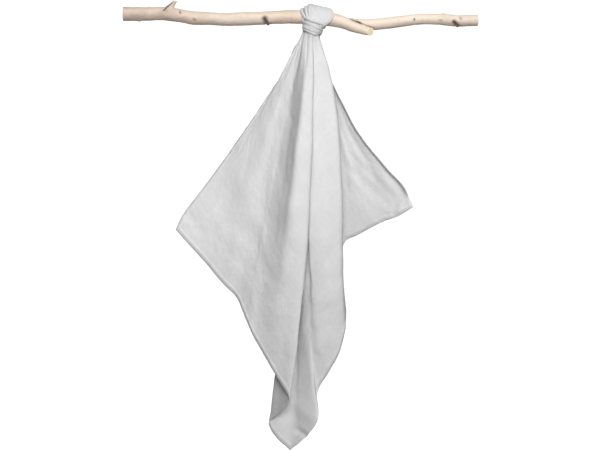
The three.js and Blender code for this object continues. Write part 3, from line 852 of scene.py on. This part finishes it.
# Faces of a tube of rings, with a cap at each end as the last two
def tube_faces(count, sides):
    k = np.arange(count - 1)[:, None] * sides
    s = np.arange(sides)[None, :]
    n = (s + 1) % sides
    quads = np.stack([k + s, k + n, k + n + sides, k + s + sides], axis=2).reshape(-1, 4).tolist()
    last = (count - 1) * sides
    caps = [list(range(sides))[::-1], [last + i for i in range(sides)]]
    return quads + caps


stem_rows, _ = smooth_rows(STEM, 6)


# Points that would lie in the branch are moved out to its surface
def clear_of_branch(points):
    x = points[:, 0]
    centre_y = np.interp(x, stem_rows[:, 0], stem_rows[:, 1])
    centre_z = np.interp(x, stem_rows[:, 0], stem_rows[:, 2])
    radius = np.interp(x, stem_rows[:, 0], stem_rows[:, 3]) + BRANCH_GAP + BARK_ROOM
    dy, dz = points[:, 1] - centre_y, points[:, 2] - centre_z
    away = np.hypot(dy, dz)
    push = np.where(away < radius, radius / np.maximum(away, 1e-6), 1.0)
    return np.stack([x, centre_y + dy * push, centre_z + dz * push], axis=1)


# Gathered strand of cloth: a flat rounded section with folds that run along it
def strand(name, item):
    sides = 84
    rows, at = smooth_rows(item["path"], 9)
    middle, wide, thick = rows[:, :3], rows[:, 3], rows[:, 4]
    way = unit(np.gradient(middle, axis=0))
    across = np.array(item["across"], float)[None, :]
    across = unit(across - (across * way).sum(axis=1, keepdims=True) * way)
    out = np.cross(way, across)
    theta = np.linspace(0, 2 * np.pi, sides, endpoint=False)[None, :]
    c, d = np.cos(theta), np.sin(theta)
    sx = np.sign(c) * np.abs(c) ** 0.9
    sz = np.sign(d) * np.abs(d) ** 0.9
    s = at[:, None] / at[-1]
    seed = item["seed"]
    wander = item["drift"] * plane_noise(theta * 1.1 + 0 * s, s * 3.0 + 0 * theta, seed)
    wave = item["folds"] * theta / 2 + 2.2 * wander + 0.6 * item["drift"] * np.sin(2 * np.pi * s + seed)
    valley = (1 - np.abs(np.sin(wave))) ** 2.0
    vary = 0.65 + 0.6 * plane_noise(theta * 0.9 + 3 + 0 * s, s * 4 + 0 * theta, seed + 1)
    dent = item["depth"] * valley * np.clip(vary, 0.15, 1.3)
    dent = dent + 0.25 * plane_noise(theta * 3 + 0 * s, s * 16 + 0 * theta, seed + 2)
    keep_in = np.minimum(wide, thick)[:, None] / 6.0
    dent = dent * np.clip(keep_in, 0.25, 1.2)
    section = np.stack([wide[:, None] * sx, thick[:, None] * sz], axis=2)
    outward = np.stack([c * thick[:, None], d * wide[:, None]], axis=2)
    outward = outward / np.linalg.norm(outward, axis=2, keepdims=True)
    section = section - outward * dent[..., None]
    points = (
        middle[:, None, :]
        + section[..., 0:1] * across[:, None, :]
        + section[..., 1:2] * out[:, None, :]
    ).reshape(-1, 3)
    points = clear_of_branch(points)
    length = np.cumsum(np.linalg.norm(np.diff(middle, axis=0, prepend=middle[:1]), axis=1))
    flat = np.stack([
        np.repeat(length, sides) + 100 * (seed % 7),
        (np.arange(sides)[None, :] * (2.5 * wide[:, None] / sides)).ravel() + 30 * (seed % 5),
        np.zeros(len(points)),
    ], axis=1)
    return points, tube_faces(len(rows), sides), flat


# All strands of the knot as one mesh
def knot():
    points, faces, flat = [], [], []
    count = 0
    items = dict(STRANDS)
    for name, (share_low, wide, thick, stand, seed) in COLLAR_FOLDS.items():
        top, low = np.array(COLLAR_TOP, float), np.array(COLLAR_LOW, float)
        wave = 0.5 * np.sin(np.arange(len(top)) * 1.3 + seed)
        path = top + (low - top) * share_low
        path[:, 2] += wave
        away = path[:, :2] - np.array(COLLAR_MIDDLE)
        path[:, :2] += stand * unit(away)
        swell = 1 + 0.14 * np.sin(np.arange(len(top)) * 1.7 + 2 * seed)
        items[name] = {
            "across": (0, -0.1, 1), "folds": 3, "depth": 0.5, "drift": 0.9, "seed": seed,
            "path": np.column_stack([path, wide * swell, thick * swell]),
        }
    for name, item in items.items():
        p, f, place = strand(name, item)
        points.append(p)
        flat.append(place)
        faces += [[i + count for i in face] for face in f]
        count += len(p)
    thing = new_object("knot", np.concatenate(points), faces, muslin)
    add_attribute(thing, "flat", np.concatenate(flat))
    return thing


muslin_knot = knot()


# Round stem along a table, with square ends where asked
def stem_mesh(rows, square_start=False, square_end=False, steps=5, sides=36):
    rows, _ = smooth_rows(rows, steps)
    middle, radius = rows[:, :3], rows[:, 3]
    way = unit(np.gradient(middle, axis=0))
    if square_start:
        way[0] = (1, 0, 0)
    if square_end:
        way[-1] = (1, 0, 0)
    hint = np.array([0, -1.0, 0.01])
    side = unit(np.cross(np.broadcast_to(hint, way.shape), way))
    up = np.cross(way, side)
    theta = np.linspace(0, 2 * np.pi, sides, endpoint=False)[None, :, None]
    ring = np.cos(theta) * side[:, None, :] + np.sin(theta) * up[:, None, :]
    points = (middle[:, None, :] + ring * radius[:, None, None]).reshape(-1, 3)
    return points, tube_faces(len(rows), sides)


# The branch: stems joined by a fine remesh, then bark relief, the slit at the fork with painted shade in
# it, and cut ends
def branch():
    parts = [
        stem_mesh(STEM, square_start=True),
        stem_mesh(SIDE_BRANCH, square_end=True),
        *[stem_mesh(rows, steps=6, sides=24) for rows in TWIG_ENDS.values()],
    ]
    points, faces, count = [], [], 0
    for p, f in parts:
        points.append(p)
        faces += [[i + count for i in face] for face in f]
        count += len(p)
    rough = new_object("branch_rough", np.concatenate(points), faces, bark)
    remesh = rough.modifiers.new("remesh", "REMESH")
    remesh.mode = "VOXEL"
    remesh.voxel_size = 1.15 * MM
    remesh.use_smooth_shade = True
    smooth = rough.modifiers.new("smooth", "SMOOTH")
    smooth.iterations = 4
    smooth.factor = 0.5
    graph = bpy.context.evaluated_depsgraph_get()
    mesh = bpy.data.meshes.new_from_object(rough.evaluated_get(graph))
    bpy.data.objects.remove(rough)
    mesh.name = "branch_bark"
    thing = bpy.data.objects.new("branch_bark", mesh)
    bpy.context.scene.collection.objects.link(thing)
    mesh.materials.clear()
    mesh.materials.append(bark)
    count = len(mesh.vertices)
    place = np.empty(count * 3)
    mesh.vertices.foreach_get("co", place)
    place = place.reshape(-1, 3) / MM
    normals = np.empty(count * 3)
    mesh.vertices.foreach_get("normal", normals)
    normals = normals.reshape(-1, 3)
    marks_and_painted_shade = np.zeros(count)
    lift = np.zeros(count)
    # Darkness of real marks and of painted shade lines, with their dents
    for x0, z0, x1, z1, y, wide, dark, dent in BARK_MARKS.values():
        dx, dz = x1 - x0, z1 - z0
        t = np.clip(((place[:, 0] - x0) * dx + (place[:, 2] - z0) * dz) / (dx * dx + dz * dz), 0, 1)
        off = np.hypot(place[:, 0] - x0 - t * dx, place[:, 2] - z0 - t * dz)
        here = np.exp(-((off / wide) ** 3)) * np.exp(-np.clip((place[:, 1] - y - 8) / 5, 0, None) ** 2)
        marks_and_painted_shade = np.maximum(marks_and_painted_shade, here * dark)
        lift -= here * dent
    relief = np.array([
        0.55 * noise.noise(Vector((x * 0.035, y * 0.12, z * 0.12)))
        + 0.35 * noise.noise(Vector((x * 0.1 + 9, y * 0.25, z * 0.25)))
        + 0.22 * noise.noise(Vector((x * 0.45 + 31, y * 0.12, z * 0.12)))
        for x, y, z in place
    ])
    ends = ramp(0, 6, place[:, 0]) * ramp(0, 6, BRANCH_END - place[:, 0])
    under_knot = ramp(350, 356, place[:, 0]) * (1 - ramp(418, 424, place[:, 0]))
    lift = lift + relief * ends * (1 - 0.7 * under_knot) - 0.25 * under_knot
    place = place + normals * lift[:, None]
    cut = np.zeros(count)
    cut[place[:, 0] < 0.8] = 1
    cut[place[:, 0] > BRANCH_END - 0.8] = 1
    for at, facing, near in CUT_ENDS.values():
        facing = np.array(facing) / np.linalg.norm(facing)
        off = place - np.array(at)
        beyond = off @ facing
        local = np.linalg.norm(off, axis=1) < near
        local &= (place[:, 2] < CUT_BELOW) | (place[:, 2] > CUT_ABOVE)
        hit = local & (beyond > -0.35)
        place[hit] -= beyond[hit, None] * facing
        cut[hit] = 1
    place[:, 0] = np.clip(place[:, 0], 0, BRANCH_END)
    mesh.vertices.foreach_set("co", (place * MM).ravel())
    mesh.update()
    mesh.polygons.foreach_set("use_smooth", np.ones(len(mesh.polygons), bool))
    add_attribute(thing, "marks_and_painted_shade", marks_and_painted_shade * (1 - cut))
    add_attribute(thing, "cut", cut)
    # Painted shade: how far each point faces down, for the darker underside
    add_attribute(thing, "painted_underside_shade", ramp(-0.2, 0.9, -normals[:, 2]) * (1 - cut))
    return thing


branch_bark = branch()

# Pieces and what they stand for
for piece in (muslin_sheet, stitches, muslin_knot, branch_bark):
    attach(piece, "root")
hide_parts("muslin_cloth")
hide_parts("muslin_cloth")
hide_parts("branch")


# Plain pale floor that curves up into a wall all round
def stage():
    m = Nodes("studio")
    place = m.put("ShaderNodeTexCoord").outputs["Object"]
    tone = m.colours(m.noise(place, 0.6, 1.0), [(0.3, (0.90, 0.90, 0.90)), (0.7, (0.92, 0.92, 0.92))])
    m.link(tone, m.shader.inputs["Base Color"])
    m.shader.inputs["Roughness"].default_value = 1.0
    m.shader.inputs["Emission Color"].default_value = (1, 1, 1, 1)
    m.shader.inputs["Emission Strength"].default_value = 0.95
    sides = 64
    profile = [(0.01, FLOOR_Z), (2000, FLOOR_Z), (FLOOR_RADIUS, FLOOR_Z)]
    for t in (0.25, 0.5, 0.8, 1.1, 1.4, 1.57):
        radius = FLOOR_RADIUS + FLOOR_CURVE * math.sin(t)
        profile.append((radius, FLOOR_Z + FLOOR_CURVE * (1 - math.cos(t))))
    profile += [(WALL_RADIUS, WALL_MIDDLE), (WALL_RADIUS, WALL_TOP)]
    angle = np.linspace(0, 2 * np.pi, sides, endpoint=False)
    points = np.array([(EYE_X + r * math.cos(t), r * math.sin(t), z) for r, z in profile for t in angle])
    thing = new_object("studio", points, tube_faces(len(profile), sides)[:-2], m.material)
    return thing


studio = stage()
studio.visible_diffuse = False


# White round lamp, in metres, aimed at the middle of the cloth
def area_light(name, place, size, power):
    aim = Vector((0.36, 0, -0.42))
    data = bpy.data.lights.new(name, "AREA")
    data.shape = "DISK"
    data.size = size
    data.energy = power
    thing = bpy.data.objects.new(name, data)
    thing.location = place
    thing.rotation_mode = "QUATERNION"
    thing.rotation_quaternion = (aim - Vector(place)).to_track_quat("-Z", "Y")
    thing.visible_camera = False
    bpy.context.scene.collection.objects.link(thing)


area_light("key", (0.62, -3.0, 0.22), 1.4, 92)
area_light("top", (0.2, -0.9, 2.4), 2.2, 23)
area_light("behind", (0.4, 2.8, 0.6), 2.0, 12)

world = bpy.data.worlds.new("soft_light")
bpy.context.scene.world = world
world.use_nodes = True
world.node_tree.nodes["Background"].inputs["Color"].default_value = (1, 1, 1, 1)
world.node_tree.nodes["Background"].inputs["Strength"].default_value = 0.08

camera_data = bpy.data.cameras.new("front")
camera_data.sensor_width = 36.0
camera_data.lens = 36.0 * -EYE_Y / PHOTO_WIDTH
camera_data.clip_start = 0.05
camera_data.clip_end = 50.0
camera = bpy.data.objects.new("front", camera_data)
camera.location = (EYE_X * MM, EYE_Y * MM, EYE_Z * MM)
camera.rotation_euler = (math.pi / 2, 0, 0)
bpy.context.scene.collection.objects.link(camera)
bpy.context.scene.camera = camera

bpy.context.scene.view_settings.view_transform = "Standard"
bpy.context.scene.view_settings.look = "None"
